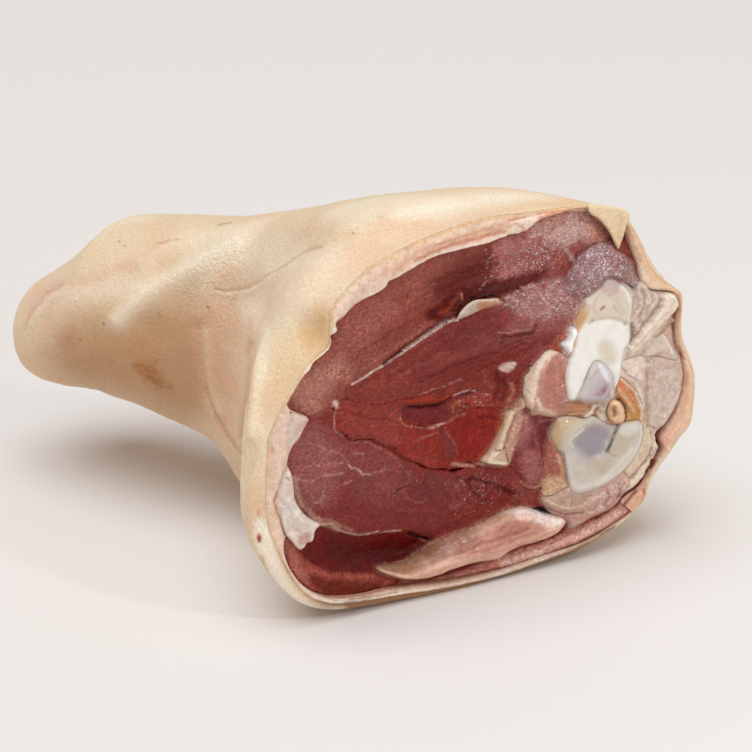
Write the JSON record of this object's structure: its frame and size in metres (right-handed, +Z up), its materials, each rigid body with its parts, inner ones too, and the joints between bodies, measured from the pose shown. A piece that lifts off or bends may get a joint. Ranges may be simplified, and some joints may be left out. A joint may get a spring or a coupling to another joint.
{
  "type": "raw pork hock",
  "caption": "Raw pork hock lying on its side, skin on, with a closed shank end and an oblique cut through the knee joint that shows muscles, fat, cartilage and tendon.",
  "frame": {"origin": "under the middle of the bounding box, on the surface that the hock rests on", "axes": "+X along the leg towards the cut face, +Z up; the cut face looks towards +X and -Y"},
  "size_m": [0.1996, 0.1209, 0.0998],
  "materials": {
    "rind": "moist pale pigskin with a cut edge of white fat",
    "muscle": "wet raw pork muscle",
    "deep_muscle": "wet dark red raw muscle",
    "silverskin": "thin silverskin over muscle",
    "joint_cartilage": "smooth bluish joint cartilage",
    "meniscus": "glossy white cartilage",
    "joint_lining": "orange-brown joint lining",
    "soft_fat": "pale granular fat",
    "tendon": "pale pink-beige tendon and sinew"
  },
  "bodies": {
    "root": {"rind_fat": "rind", "upper_muscle": "muscle", "middle_muscle": "muscle", "inner_muscle": "deep_muscle", "deep_muscle": "deep_muscle", "lower_muscle": "muscle", "base_muscle": "deep_muscle", "knee_muscle": "silverskin", "shin_bone": "joint_cartilage", "upper_meniscus": "meniscus", "lower_meniscus": "meniscus", "cartilage_chip": "meniscus", "joint_lining": "joint_lining", "fat_pad": "soft_fat", "joint_capsule": "soft_fat", "lower_capsule": "silverskin", "tendon_band": "tendon", "tendon_flap": "tendon"}
  },
  "joints": []
}
